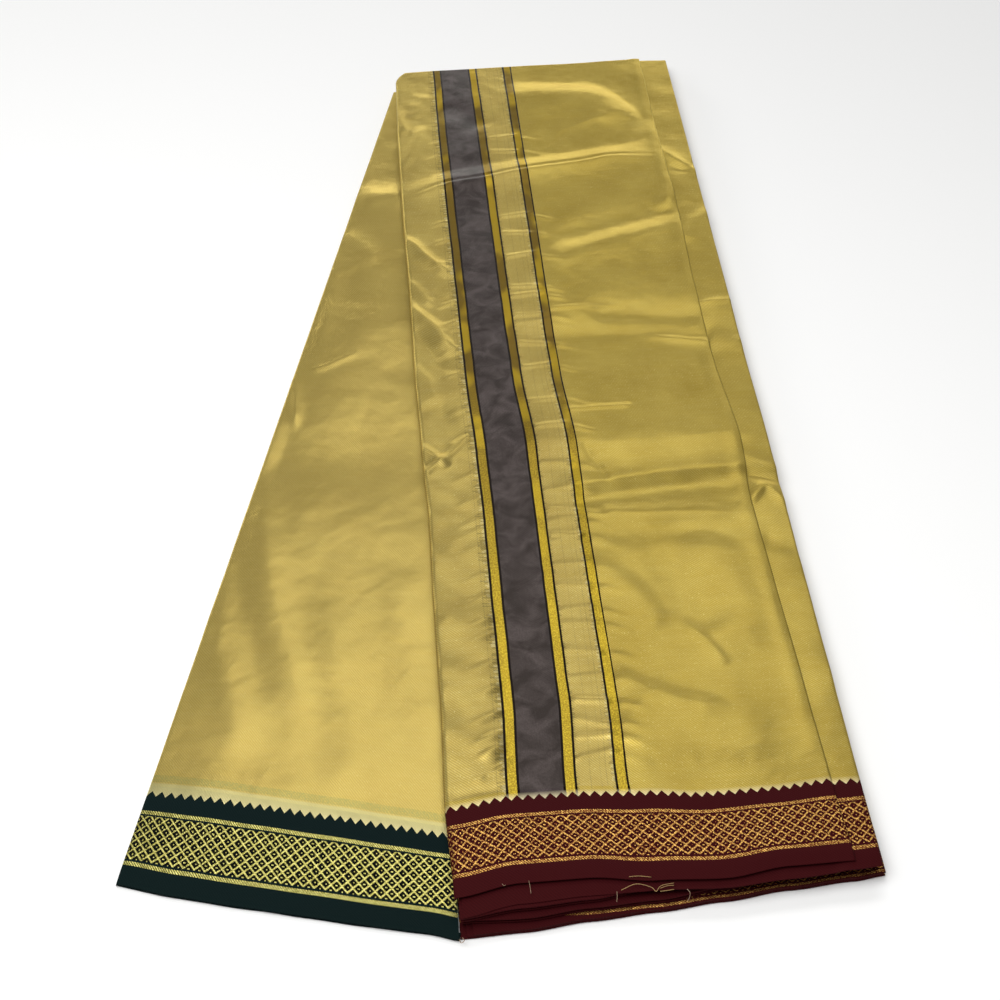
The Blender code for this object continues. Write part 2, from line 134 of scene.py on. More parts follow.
def silkBase(name):  # cloth coordinates, twill and the uneven lie that every silk here has
    material, tree = newMaterial(name)
    cloth = put(tree, "UVMap", uv_map="weave")
    where = put(tree, "SeparateXYZ", {0: cloth})
    cloud = put(tree, "TexNoise", {"Vector": cloth, "Scale": patchScale, "Detail": 3, "Roughness": 0.6})
    lying = put(tree, "VectorMath", {0: cloth, 1: yarnRun}, operation="MULTIPLY")
    slub = put(tree, "TexNoise", {"Vector": lying, "Scale": 1})
    twill = {"Vector": cloth, "Scale": bandSpan / twillPitch, "Distortion": 1.6, "Detail": 1}
    twill = put(tree, "TexWave", {**twill, "Detail Scale": 0.5}, bands_direction="DIAGONAL")
    # the float noise places painted glints on the gold silks, and random flecks and breaks elsewhere
    dots = put(tree, "VectorMath", {0: cloth, 1: floatRun}, operation="MULTIPLY")
    flecksAndGlints = put(tree, "TexNoise", {"Vector": dots, "Scale": 1.3, "Roughness": 0.7})
    crumple = put(tree, "TexNoise", {"Vector": cloth, "Scale": 1 / softCrumple, "Detail": 2.5})
    lie = {}
    for height, (strength, depth) in ((crumple, silkFinish["crumple"]), (twill, silkFinish["twill"])):
        bump = put(tree, "Bump", {"Strength": strength, "Distance": depth, "Height": height, **lie})
        lie = {"Normal": bump}
    return material, tree, dict(
        cloth=cloth, c=where.outputs[0], y=where.outputs[1], cloud=cloud, slub=slub, twill=twill,
        flecksAndGlints=flecksAndGlints, normal=bump,
    )


def finishSilk(tree, parts, colour, metal, roughness, gloss=silkFinish["gloss"]):
    tangent = put(tree, "Tangent", direction_type="UV_MAP", uv_map="weave")
    shader = put(
        tree, "BsdfPrincipled",
        {
            "Base Color": colour, "Metallic": metal, "Roughness": roughness, "IOR": silkFinish["ior"],
            "Specular IOR Level": gloss, "Specular Tint": silkFinish["tint"],
            "Anisotropic": silkFinish["stretch"], "Tangent": tangent, "Normal": parts["normal"],
        },
    )
    put(tree, "OutputMaterial", {"Surface": shader})


def goldGround(tree, parts, look):  # plain gold silk: broad patches of tone, cross yarns, painted shade in the twill's dips and painted glints on single floats
    patchy = put(tree, "MapRange", {0: parts["cloud"], 1: 0.30, 2: 0.70})
    yarns = put(tree, "MapRange", {0: parts["slub"], 1: 0.35, 2: 0.72, 4: look["slub"]})
    # painted shade: browner along the twill's dips
    twillShade = put(tree, "MapRange", {0: parts["twill"], 1: 0.1, 2: 0.9, 3: look["twillShade"], 4: 0})
    # painted glints: pale where the float noise peaks, as if single floats caught the light
    bright = put(tree, "MapRange", {0: parts["flecksAndGlints"], 1: 0.60, 2: 0.78, 4: look["flecksAndGlints"]})
    ground = look["deep"]
    for mask, tone in ((patchy, "base"), (yarns, "pale"), (twillShade, "shade"), (bright, "pale")):
        ground = put(tree, "Mix", {0: mask, 6: ground, 7: look[tone]})
    return ground


def bandMasks(tree, place, table):  # where each kind of yarn lies, from its bands in mm
    masks = {}
    for kind, start, end in table:
        band = {0: place, 1: (start + end) / 2, 2: (end - start) / 2}
        band = put(tree, "Math", band, operation="COMPARE")
        if kind in masks:
            band = put(tree, "Math", {0: masks[kind], 1: band}, operation="ADD")
        masks[kind] = band
    return masks


# Gold art silk, woven: warm straw yellow in random patches of deeper tone, browner along the twill's
# dips as painted shade, and pale specks as painted glints where single floats catch the light; the end
# band's weft is paler, and the fanned half warmer
goldSilk = dict(
    base="#C0A952", deep="#AA9341", pale="#DFD08C", shade="#87712F", slub=0.09, twillShade=0.62, flecksAndGlints=0.75
)
stripSilk = dict(
    base="#C4AE5F", deep="#A9934C", pale="#E3D79A", shade="#87723A", slub=0.10, twillShade=0.60, flecksAndGlints=0.80
)
wingSilk = dict(
    base="#C4AD5D", deep="#BEA658", pale="#E0CF94", shade="#927C44", slub=0.06, twillShade=0.36, flecksAndGlints=0.45
)
# The end band's weft stripes, in mm from the fold: black lines beside zari, and a grey band
stripeBands = (
    ("black", 26.1, 27.2), ("zari", 27.2, 30.9), ("black", 30.9, 31.95), ("grey", 31.95, 50.5),
    ("black", 50.5, 51.55), ("zari", 51.55, 55.4), ("black", 55.4, 56.45), ("black", 72.8, 73.85),
    ("zari", 73.85, 77.7), ("black", 77.7, 78.7),
)
stripeYarns = dict(
    black="#0E0505", grey="#352E2D", greyPale="#554C4B", greyGrain="#262120", zari="#A68B2A",
    zariPaintedGlint="#D6BC3A", zariDull="#735D26", drawn="#6F6340", drawnWide=0.22, frayShown=0.4,
    rowsPerMm=1.1,
)
# Loose weft ends beside the stripes: from, side, longest in mm, colour
frayRows = (
    (26.2, -1, 2.2, "#D5CA98"), (26.2, -1, 4.2, "#5E5433"), (56.3, 1, 1.4, "#5E5433"),
    (72.9, -1, 1.6, "#CDC28C"), (72.9, -1, 2.2, "#6A5E3A"), (78.6, 1, 1.4, "#D0C590"),
)
drawnLines = ((22.6, 0.5), (24.2, 0.35), (62.5, 0.4), (67, 0.3), (69.5, 0.5))  # at, how dark


def endStripes(tree, parts, colour):  # weft stripes of the end band laid over the gold ground
    yarns = stripeYarns
    wobble = {"Vector": parts["cloth"], "Scale": 0.09, "Detail": 4, "Distortion": 0.8}
    wobble = put(tree, "TexNoise", wobble)
    sway = put(tree, "Math", {0: parts["cloud"], 1: 0.9, 2: -0.45}, operation="MULTIPLY_ADD")
    across = put(tree, "Math", {0: parts["c"], 1: sway}, operation="ADD")
    masks = bandMasks(tree, across, stripeBands)
    row = put(tree, "Math", {0: parts["y"], 1: yarns["rowsPerMm"]}, operation="MULTIPLY")
    row = put(tree, "Math", {0: row}, operation="FLOOR")
    for at, dark in drawnLines:  # a few weft yarns drawn tight, broken along their run
        line = put(tree, "Math", {0: across, 1: at, 2: yarns["drawnWide"]}, operation="COMPARE")
        broken = put(tree, "MapRange", {0: parts["flecksAndGlints"], 1: 0.42, 2: 0.58, 4: dark})
        line = put(tree, "Math", {0: line, 1: broken}, operation="MULTIPLY")
        colour = put(tree, "Mix", {0: line, 6: colour, 7: yarns["drawn"]})
    for i, (edge, side, longest, tone) in enumerate(frayRows):
        pick = put(tree, "TexWhiteNoise", {"Vector": (i * 3.7, 0, 0), "W": row}, noise_dimensions="4D")
        reach = put(tree, "MapRange", {0: pick, 1: 0.45, 2: 1, 4: longest})
        out = put(tree, "Math", {0: across, 1: side, 2: -edge * side}, operation="MULTIPLY_ADD")
        short = put(tree, "Math", {0: out, 1: reach}, operation="LESS_THAN")
        beyond = put(tree, "Math", {0: out, 1: 0}, operation="GREATER_THAN")
        fray = put(tree, "Math", {0: short, 1: beyond}, operation="MULTIPLY")
        fray = put(tree, "Math", {0: fray, 1: yarns["frayShown"]}, operation="MULTIPLY")
        colour = put(tree, "Mix", {0: fray, 6: colour, 7: tone})
    mottled = put(tree, "MapRange", {0: wobble, 1: 0.36, 2: 0.68})
    grained = put(tree, "MapRange", {0: parts["flecksAndGlints"], 1: 0.35, 2: 0.7, 3: 0.35, 4: 0})
    grey = put(tree, "Mix", {0: mottled, 6: yarns["grey"], 7: yarns["greyPale"]})
    grey = put(tree, "Mix", {0: grained, 6: grey, 7: yarns["greyGrain"]})
    along = put(tree, "VectorMath", {0: parts["cloth"], 1: (0.05, 0.032, 1)}, operation="MULTIPLY")
    patch = put(tree, "TexNoise", {"Vector": along, "Scale": 1, "Detail": 1.5})
    # painted highlight: higher up, the zari is dull in random patches; in the lower part of the panel,
    # fading out from 150 to 330 mm up, it keeps its bright colour and takes painted glints
    dull = put(tree, "MapRange", {0: patch, 1: 0.45, 2: 0.56})
    low = put(tree, "MapRange", {0: parts["y"], 1: 150, 2: 330, 3: 0.7, 4: 0})
    glint = put(tree, "MapRange", {0: parts["flecksAndGlints"], 1: 0.44, 2: 0.62})
    glint = put(tree, "Math", {0: glint, 1: low}, operation="MULTIPLY")
    shown = put(tree, "Math", {0: dull, 1: low}, operation="MAXIMUM")
    zari = put(tree, "Mix", {0: shown, 6: yarns["zariDull"], 7: yarns["zari"]})
    zari = put(tree, "Mix", {0: glint, 6: zari, 7: yarns["zariPaintedGlint"]})
    for kind, tone in (("grey", grey), ("zari", zari), ("black", yarns["black"])):
        colour = put(tree, "Mix", {0: masks[kind], 6: colour, 7: tone})
    return colour, masks


# The fanned half's selvedge, in mm from the hem: a cream band, and a dotted one over it
creamBand = dict(
    fades=(47.8, 49), share=0.85, colour="#C0B77D", dotsAt=50.9, dotsHalf=1.9, dots="#97975A",
)


def goldSilkCloth(name, look):
    material, tree, parts = silkBase(name)
    colour = goldGround(tree, parts, look)
    if look is wingSilk:  # the selvedge lies above the green border's teeth
        start, end = creamBand["fades"]
        cream = put(tree, "MapRange", {0: parts["y"], 1: start, 2: end, 3: creamBand["share"], 4: 0})
        colour = put(tree, "Mix", {0: cream, 6: colour, 7: creamBand["colour"]})
        above = {0: parts["y"], 1: creamBand["dotsAt"], 2: creamBand["dotsHalf"]}
        above = put(tree, "Math", above, operation="COMPARE")
        knots = put(tree, "MapRange", {0: parts["flecksAndGlints"], 1: 0.40, 2: 0.62, 3: 0.15, 4: 0.75})
        knots = put(tree, "Math", {0: above, 1: knots}, operation="MULTIPLY")
        colour = put(tree, "Mix", {0: knots, 6: colour, 7: creamBand["dots"]})
    smoothest, roughest = silkFinish["rough"]
    rough = put(tree, "MapRange", {0: parts["slub"], 1: 0.3, 2: 0.7, 3: smoothest, 4: roughest})
    finishSilk(tree, parts, colour, silkFinish["metal"], rough)
    return material


def endBandCloth(name):
    material, tree, parts = silkBase(name)
    colour, masks = endStripes(tree, parts, goldGround(tree, parts, stripSilk))
    dark = put(tree, "Math", {0: masks["grey"], 1: masks["black"]}, operation="ADD")
    metal = put(tree, "MapRange", {0: dark, 3: 0.75, 4: 0.08})
    rough = put(tree, "MapRange", {0: masks["zari"], 3: 0.37, 4: 0.33})
    finishSilk(tree, parts, colour, metal, rough)
    return material


# The border's bands, in mm from the hem: zari lines in a slant hatch beside a diamond lattice
borderBands = (("hatch", 8.7, 10.5), ("lattice", 11.5, 31.9), ("hatch", 32.7, 34.4))
diamond = (4.7, 4.6)  # mm, one repeat of the lattice and of the temple teeth
# Shares of a repeat that are zari: strong and fine lattice lines, a dot in each diamond, the hatch
brocade = dict(
    strong=0.19, fine=0.15, dotRight=0.60, dotLeft=0.57, dotHalf=0.10, hatchPerMm=0.85, hatch=0.66
)
teeth = dict(valley=41.3, slope=5.4, notch=(41.6, 45.2), cream="#E6D8AE")  # mm from the hem
maroonSilk = dict(
    ground="#3B0E12", shade="#2C090D", cell="#34090D", zari="#6E341C", zariPaintedGlint="#E9B862", above=None,
    notch=0.65,  # how cream the field's yarns are deep between the teeth
)
greenSilk = dict(
    ground="#0D1C1D", shade="#091415", cell="#0B0D0B", zari="#9E9648", zariPaintedGlint="#DCD480",
    above="#B8AF79", notch=0.2,
)


def borderCloth(name, look):  # silk ground brocaded in zari, with temple teeth along its top
    material, tree, parts = silkBase(name)
    # painted shade: the ground turns browner along the twill's dips
    twillShade = put(tree, "MapRange", {0: parts["twill"], 1: 0.1, 2: 0.9, 3: 0.5, 4: 0})
    ground = put(tree, "Mix", {0: twillShade, 6: look["ground"], 7: look["shade"]})
    # the brocade is charted on its own yarns, ten to a repeat
    yarns = {0: parts["cloth"], 1: (diamond[0] / 10, diamond[1] / 10, 1)}
    grid = put(tree, "SeparateXYZ", {0: put(tree, "VectorMath", yarns, operation="SNAP")})
    run, rise = (
        put(tree, "Math", {0: grid.outputs[i], 1: diamond[i]}, operation="DIVIDE") for i in (0, 1)
    )
    lines, dots = [], []
    for way, line, place in (("SUBTRACT", "strong", "dotRight"), ("ADD", "fine", "dotLeft")):
        slope = put(tree, "Math", {0: run, 1: rise}, operation=way)
        slope = put(tree, "Math", {0: slope}, operation="FRACT")
        lines.append(put(tree, "Math", {0: slope, 1: brocade[line]}, operation="LESS_THAN"))
        dot = {0: slope, 1: brocade[place], 2: brocade["dotHalf"]}
        dots.append(put(tree, "Math", dot, operation="COMPARE"))
    dot = put(tree, "Math", dict(enumerate(dots)), operation="MULTIPLY")
    lattice = put(tree, "Math", dict(enumerate(lines)), operation="MAXIMUM")
    lattice = put(tree, "Math", {0: lattice, 1: dot}, operation="MAXIMUM")
    masks = bandMasks(tree, parts["y"], borderBands)
    slant = put(tree, "Math", {0: parts["c"], 1: parts["y"]}, operation="ADD")
    hatch = put(tree, "Math", {0: slant, 1: brocade["hatchPerMm"]}, operation="MULTIPLY")
    hatch = put(tree, "Math", {0: hatch}, operation="FRACT")
    hatch = put(tree, "Math", {0: hatch, 1: brocade["hatch"]}, operation="LESS_THAN")
    lattice = put(tree, "Math", {0: lattice, 1: masks["lattice"]}, operation="MULTIPLY")
    hatch = put(tree, "Math", {0: hatch, 1: masks["hatch"]}, operation="MULTIPLY")
    zari = put(tree, "Math", {0: lattice, 1: hatch}, operation="ADD")
    ground = put(tree, "Mix", {0: masks["lattice"], 6: ground, 7: look["cell"]})
    # painted glints: the zari thread takes its glint colour where the float noise peaks
    glint = put(tree, "MapRange", {0: parts["flecksAndGlints"], 1: 0.42, 2: 0.60})
    thread = put(tree, "Mix", {0: glint, 6: look["zari"], 7: look["zariPaintedGlint"]})
    colour = put(tree, "Mix", {0: zari, 6: ground, 7: thread})
    # temple teeth: the field's yarns come down between them
    tooth = put(tree, "Math", {0: parts["c"], 1: diamond[0]}, operation="DIVIDE")
    tooth = put(tree, "Math", {0: tooth, 1: 0.5}, operation="PINGPONG")
    tooth = {0: tooth, 1: teeth["slope"], 2: teeth["valley"]}
    tooth = put(tree, "Math", tooth, operation="MULTIPLY_ADD")
    field = put(tree, "Math", {0: parts["y"], 1: tooth}, operation="GREATER_THAN")
    low, high = teeth["notch"]
    cream = put(tree, "MapRange", {0: parts["y"], 1: low, 2: high, 3: look["notch"], 4: 0})
    above = look["above"] or endStripes(tree, parts, goldGround(tree, parts, goldSilk))[0]
    above = put(tree, "Mix", {0: cream, 6: above, 7: teeth["cream"]})
    colour = put(tree, "Mix", {0: field, 6: colour, 7: above})
    bright = put(tree, "Math", {0: zari, 1: field}, operation="ADD")
    metal = put(tree, "MapRange", {0: bright, 3: 0.06, 4: 0.64})
    rough = put(tree, "MapRange", {0: bright, 3: 0.58, 4: 0.33})
    finishSilk(tree, parts, colour, metal, rough, silkFinish["borderGloss"])
    return material


def threadMaterial(name, colour, metal):  # twisted yarn, matt beside the satin cloth
    material, tree = newMaterial(name)
    place = put(tree, "TexCoord")
    ply = put(tree, "TexNoise", {"Vector": place.outputs["Object"], "Scale": 900})
    tone = put(tree, "Mix", {0: ply, 6: colour, 7: "#8A7650"})
    shader = put(tree, "BsdfPrincipled", {"Base Color": tone, "Metallic": metal, "Roughness": 0.55})
    put(tree, "OutputMaterial", {"Surface": shader})
    return material


goldCloth = goldSilkCloth("goldArtSilkWoven", goldSilk)
wingCloth = goldSilkCloth("goldArtSilkCreamSelvedge", wingSilk)
endBand = endBandCloth("endBandSilkAndZari")
maroonBorder = borderCloth("maroonSilkBrocadedZari", maroonSilk)
greenBorder = borderCloth("greenSilkBrocadedZari", greenSilk)
zariYarn = threadMaterial("zariYarnTwisted", "#B08A50", 0.4)
cottonYarn = threadMaterial("cottonYarnTwisted", "#A98A78", 0.0)
floorPaint, tree = newMaterial("studioPaperMatt")
paper = put(tree, "BsdfPrincipled", {"Base Color": studio["floor"], "Roughness": studio["floorRough"]})
put(tree, "OutputMaterial", {"Surface": paper})
floorMesh = bpy.data.meshes.new("studioFloor")
far, low = studio["floorReach"], -studio["floorDrop"]
floorCorners = ((-far, -far, low), (far, -far, low), (far, far, low), (-far, far, low))
floorMesh.from_pydata(floorCorners, [], [(0, 1, 2, 3)])
floorMesh.materials.append(floorPaint)
floor = bpy.data.objects.new("studioFloor", floorMesh)
scene.collection.objects.link(floor)
print("stage: materials")

# The folded shape, in mm: c across the cloth, y up it from the hem

spots = dict(stack=((-19.2, -322.1), 4.6), wing=((-158.8, -309.1), -8.5))
stack = dict(
    width=164.5, length=642, border=44, topSlope=0.0355, corner=13, hemRise=1, rim=0.3,
    topRound=2.6, fieldEnds=46.6, pressReach=3.5, press=0.75,
)
front = dict(
    line="front", top=13.2, lift=1, left=2.2, outset=0, foldRound=0.8, bandAt=52, bandReach=34,
    deepest=1.3, uneven=0.16, roll=0.5, rollAt=160.5, rollHalf=3.4, loose=0.035, looseStrip=0.06,
    looseBelow=0.13,
)
second = dict(
    line="second", top=11.7, lift=0.75, left=3, outset=11.2, outsetGrowth=7.3, foldRound=0.9,
    shownFrom=160, hiddenBy=0.9, uneven=0.12, sink=0.5, sinkFrom=168,
)
stations = (0, 27.5, 55, 82.5, 110, 137.5, 165, 179)
hemLines = dict(
    front=(-0.6, 4.3, 4.6, 1.2, 0, 3.7, 4.2, 4.2),
    second=(-8.8, -3.8, -2.2, -1.8, -2.9, -0.8, 1, 2.4),
    third=(-8.5, -5.2, -3.4, 1, 2, 4.5, 6.5, 7),
    fourth=(-7, -7.8, -5.1, -3.5, 0.2, 5.4, 9.6, 12.6),
    lowest=(-11.7, -10.6, -7.7, -5.6, -2.9, 0.3, 2.5, 4.2),
)
teethLine = (44, 47.6, 47.5, 45.8, 42.9, 43.2, 45.5, 46)
edges = dict(  # how far each fold, and the end band, strays from straight at these heights
    heights=(0, 45, 100, 160, 215, 262, 325, 385, 485, 555, 640),
    left=(0, -1.3, -0.4, -0.4, 0.3, -0.8, -1.6, -1.2, -1.9, -1.7, 0),
    right=(0, -0.9, -1.6, -2.6, -3.2, -0.6, -3, -2.8, -0.4, -0.6, 0.3),
    band=(0, 0, 2.2, 2.8, 2.8, 2.8, 2, 1, 0.4, -0.4, -2.4),
)
# Folds pressed or rubbed into the front panel: height (a trough is below 0), width to the left and
# right of its run, sharpness (1 a pressed crease, 2 a soft roll), then its run, across and up in mm
frontFolds = (
    (2.53, 17, 11, 1.15, -12, 482, 24, 503, 50, 509, 74, 516, 110, 522, 134, 527, 176, 525),
    (-0.69, 1.3, 1.3, 1.6, -6, 487, 24, 505, 50, 511, 74, 518, 110, 524, 134, 529, 172, 528),
    (-1.25, 12, 8, 1.4, -8, 500, 25, 519, 76, 531, 112, 537, 136, 542, 176, 556),
    (2.53, 12, 32, 2, 66, 606, 90, 605, 112, 604, 130, 598, 144, 582, 152, 560),
    (-1.95, 13, 8, 1.25, 64, 624, 102, 622, 130, 619, 144, 604, 152, 588, 161, 571, 172, 553),
    (1.12, 3.5, 5, 1.7, 17, 575, 13, 559, 9, 545, 2, 522),
    (1, 3, 5, 1.7, -2, 592, 3, 578, 6, 560),
    (0.88, 4, 6, 2, 22, 612, 16, 596, 12, 580),
    (-1, 8, 9, 2, 30, 600, 44, 585, 58, 566),
    (2.07, 3, 5, 1.4, -8, 454, 3, 446, 11, 433, 19, 421, 27, 411),
    (0.88, 3, 3.5, 1.8, -6, 416, 3, 405, 9, 392, 12, 382),
    (2.3, 3.2, 6.5, 1.4, -8, 395, -2, 388, 6, 376, 13, 365, 18, 352, 26, 342),
    (-1, 4.5, 4, 2, -2, 368, 4, 358, 11, 343, 17, 322),
    (1, 4, 4.5, 2, -4, 336, 2, 328, 8, 316, 12, 298),
    (1.5, 2.6, 4, 1.5, -6, 276, -1, 270, 9, 257, 14, 252),
    (1.25, 2.2, 2.2, 1.6, -3, 238, 1, 248, 8, 255, 16, 264, 30, 283),
    (-1, 6, 6, 2, 2, 302, 12, 290, 22, 262),
    (0.88, 4, 5, 1.9, -4, 222, 6, 214, 18, 190),
    (0.75, 5, 6, 2, 0, 150, 12, 140, 24, 118),
    (0.62, 5, 6, 2, -2, 108, 10, 100, 24, 84),
    (-0.75, 2.4, 2.4, 1.5, 17, 56, 21, 61, 30, 71),
    (-0.75, 2.4, 2.6, 1.6, 2, 48, 8, 50, 32, 53),
    (1, 5, 6, 1.9, 172, 505, 164, 488, 150, 464),
    (1, 9, 16, 1.9, 78, 424, 100, 431, 130, 442, 176, 458),
    (-1.12, 12, 8, 1.8, 80, 442, 110, 452, 140, 462, 176, 476),
    (0.62, 1.5, 1.5, 1.4, 74, 378, 95, 379, 120, 378),
    (-1.62, 8, 6, 1.5, 96, 374, 120, 371, 145, 368, 178, 364),
    (0.62, 2, 3, 1.6, 128, 352, 150, 347, 172, 341),
    (0.62, 1.5, 1.5, 1.4, 74, 290, 95, 291, 116, 291),
    (-0.69, 2, 2.4, 1.6, 81, 266, 84, 256, 88, 247, 94, 230),
    (1.72, 15, 4.6, 1.4, 58, 231, 83, 234, 105, 237, 140, 240, 196, 242),
    (-1.12, 5, 9, 1.6, 62, 223, 83, 224, 105, 227, 128, 229, 178, 229),
    (0.88, 6, 5, 1.9, 82, 216, 100, 212, 130, 210, 168, 206),
    (-0.75, 8, 8, 2, 80, 203, 108, 198, 168, 194),
    (1, 7, 8, 2, 72, 186, 88, 168, 100, 150, 108, 132),
    (1, 5, 7, 1.9, 76, 116, 90, 102, 108, 92, 134, 84),
    (1.5, 34, 10, 1.8, 68, 88, 84, 75, 104, 69, 128, 66, 152, 67),
    (0.75, 2.5, 3.5, 1.7, 116, 142, 125, 126, 133, 110),
    (1.12, 14, 16, 2, 126, 200, 142, 165, 150, 115),
    (-1, 14, 14, 2, 108, 190, 124, 160, 134, 130),
    (0.62, 8, 9, 2, 20, 330, 22, 300, 22, 250),
    (1.6, 8, 14, 1.8, -14, 158, 4, 152, 16, 149, 30, 148),
    (1.5, 8, 14, 1.8, -14, 124, 4, 118, 16, 112, 30, 110),
    (1.6, 8, 12, 1.8, -14, 88, 4, 82, 16, 76, 30, 74),
    (0.7, 8, 12, 1.9, -14, 196, 4, 190, 16, 188, 28, 188),
)
stackFolds = (  # sags that go through the front panel and the one under it alike
    (-1.7, 14, 38, 1.8, 40, 356, 84, 353, 140, 350, 200, 346),
    (2.5, 36, 14, 1.6, 30, 268, 70, 266, 108, 263, 138, 265, 200, 268),
)
# Puckers that cross the end band: height up the panel, tilt, depth
puckers = (
    (430, 3, 0.56), (400, -1, 0.49), (392, 2, 0.7), (374, 0, 0.63), (368, 2, 0.42), (350, -2, 0.49),
    (330, 2, 0.42), (300, 1, 0.42), (278, 1, 0.63), (250, -2, 0.64), (232, 1, 0.48), (217, -2, 0.8),
    (210, 1, 0.64), (200, -1, 0.64), (197, 3, 0.48), (180, 0, 0.48), (166, -2, 0.8), (151, 1, 0.64),
    (142, -1, 0.56), (125, -3, 0.8), (110, 1, 0.48), (96, -2, 0.96), (84, -5, 0.8), (76, 0, 0.96),
    (66, 3, 0.8), (556, 2, 0.42), (540, -1, 0.42), (470, 2, 0.42), (452, -2, 0.49),
)
# Where they show: on the plain strip between the zari stripes, to its right, and by the left stripe
crimps = (  # start, fade, end, fade, share of depth, drop, lean, share of tilt, pivot, half width
    (55, 4, 77, 4, 1, 0, 0, 1 / 16, 65, 1.7), (77, 3, 95, 14, 0.72, 2, 0.4, 0, 78, 1.9),
    (10, 12, 27, 3, 0.8, 3, -0.5, 0, 26, 2),
)
secondFolds = (
    (1.2, 4, 5, 1.5, 158, 540, 166, 531, 175, 519, 188, 506),
    (-0.9, 3, 4, 1.6, 164, 520, 175, 513, 184, 524, 190, 530),
    (0.9, 5, 6, 1.8, 160, 434, 172, 456, 186, 472),
    (0.6, 1.8, 2, 1.5, 158, 378, 174, 380, 190, 381),
    (0.9, 8, 9, 2, 160, 350, 172, 345, 186, 340),
    (1.1, 7, 4, 1.5, 158, 252, 168, 246, 186, 236),
    (-1, 5, 4, 1.6, 158, 238, 172, 234, 188, 226),
    (1.1, 2.5, 2.5, 1.6, 158, 212, 166, 224, 171, 228, 176, 220, 180, 210),
    (-0.6, 7, 7, 2, 160, 190, 172, 186, 186, 180),
    (0.6, 9, 9, 2, 162, 120, 174, 110, 184, 98),
)
wingFolds = (
    (1.35, 8, 10, 1.8, -4, 262, 5, 227, 17, 187, 30, 155, 43, 126, 54, 98, 66, 70),
    (1.2, 8, 8, 1.8, -14, 186, -2, 154, 12, 122, 27, 90, 36, 66),
    (-0.5, 7, 6, 1.8, -2, 196, 5, 175, 17, 147, 29, 121, 38, 96),
    (1.1, 10, 13, 1.9, 44, 186, 61, 141, 73, 107, 85, 74, 92, 52),
    (0.6, 9, 10, 2, 78, 196, 90, 160, 104, 120, 116, 84),
    (1.8, 11, 15, 1.8, -12, 505, 4, 500, 16, 500, 32, 502),
    (0.8, 7, 9, 1.8, -8, 462, 8, 450, 24, 430),
    (-0.9, 8, 8, 1.9, 4, 430, 12, 396, 16, 350),
    (1.1, 2.6, 3.4, 1.5, -6, 330, 0, 316, 4, 302, 9, 280),
    (0.5, 2.2, 3, 1.7, 4, 330, 16, 338, 30, 350),
    (-1.6, 34, 30, 1.8, -14, 262, 20, 262, 66, 270, 106, 276),
    (1.2, 22, 30, 2, -8, 372, 20, 372, 60, 376),
)


def smooth(t):  # a soft step from 0 to 1
    t = np.clip(t, 0, 1)
    return t * t * (3 - 2 * t)


def between(xs, ys, x):  # soft steps through a short table
    xs, ys = np.asarray(xs, float), np.asarray(ys, float)
    x = np.clip(x, xs[0], xs[-1])
    i = np.clip(np.searchsorted(xs, x, side="right") - 1, 0, len(xs) - 2)
    return ys[i] + (ys[i + 1] - ys[i]) * smooth((x - xs[i]) / (xs[i + 1] - xs[i]))


def rotated(x, y, degrees):
    turn = math.radians(degrees)
    return x * math.cos(turn) - y * math.sin(turn), x * math.sin(turn) + y * math.cos(turn)


def onTable(spot, a, b, z):  # mm in a panel's own frame to metres on the table
    (x, y), degrees = spots[spot]
    a, b = rotated(a, b, degrees)
    return np.stack((x + a, y + b, z), -1) * mm


def softLine(points, steps=6):  # a smooth run through the few points of a fold or thread
    p = np.asarray(points, float)
    p = np.vstack((2 * p[0] - p[1], p, 2 * p[-1] - p[-2]))
    run = []
    for a, b, c, d in zip(p, p[1:], p[2:], p[3:]):
        for t in np.arange(steps) / steps:
            bend = (2 * a - 5 * b + 4 * c - d) * t * t + (3 * b - a - 3 * c + d) * t ** 3
            run.append(0.5 * (2 * b + (c - a) * t + bend))
    return np.array(run + [p[-2]])


foldReach = 3.2  # in widths: farther out a fold adds nothing that counts
foldFade = 0.22  # share of its run over which each end of a fold dies away
crest = 0.01  # rounds the line of a pressed crease


def relief(folds, u, v):  # height that all the folds give each point
    z = np.zeros(np.shape(u))
    for height, leftWidth, rightWidth, sharpness, *points in folds:
        run = softLine(np.reshape(points, (-1, 2)))
        reach = foldReach * max(leftWidth, rightWidth)
        low, high = run.min(0) - reach, run.max(0) + reach
        near = (u > low[0]) & (u < high[0]) & (v > low[1]) & (v < high[1])
        if not near.any():
            continue
        px, py = u[near], v[near]
        best = np.full(px.shape, 1e9)
        along, side = np.zeros(px.shape), np.zeros(px.shape)
        for i, (start, end) in enumerate(zip(run, run[1:])):
            step = end - start
            t = np.clip(((px - start[0]) * step[0] + (py - start[1]) * step[1]) / (step @ step), 0, 1)
            dx, dy = px - start[0] - t * step[0], py - start[1] - t * step[1]
            d = dx * dx + dy * dy
            closer = d < best
            best = np.where(closer, d, best)
            along = np.where(closer, (i + t) / (len(run) - 1), along)
            side = np.where(closer, step[0] * dy - step[1] * dx, side)
        width = np.where(side > 0, leftWidth, rightWidth)
        ends = smooth(along / foldFade) * smooth((1 - along) / foldFade)
        bend = (best / (width * width) + crest) ** (sharpness / 2) - crest ** (sharpness / 2)
        z[near] += height * np.exp(-bend) * ends
    return z


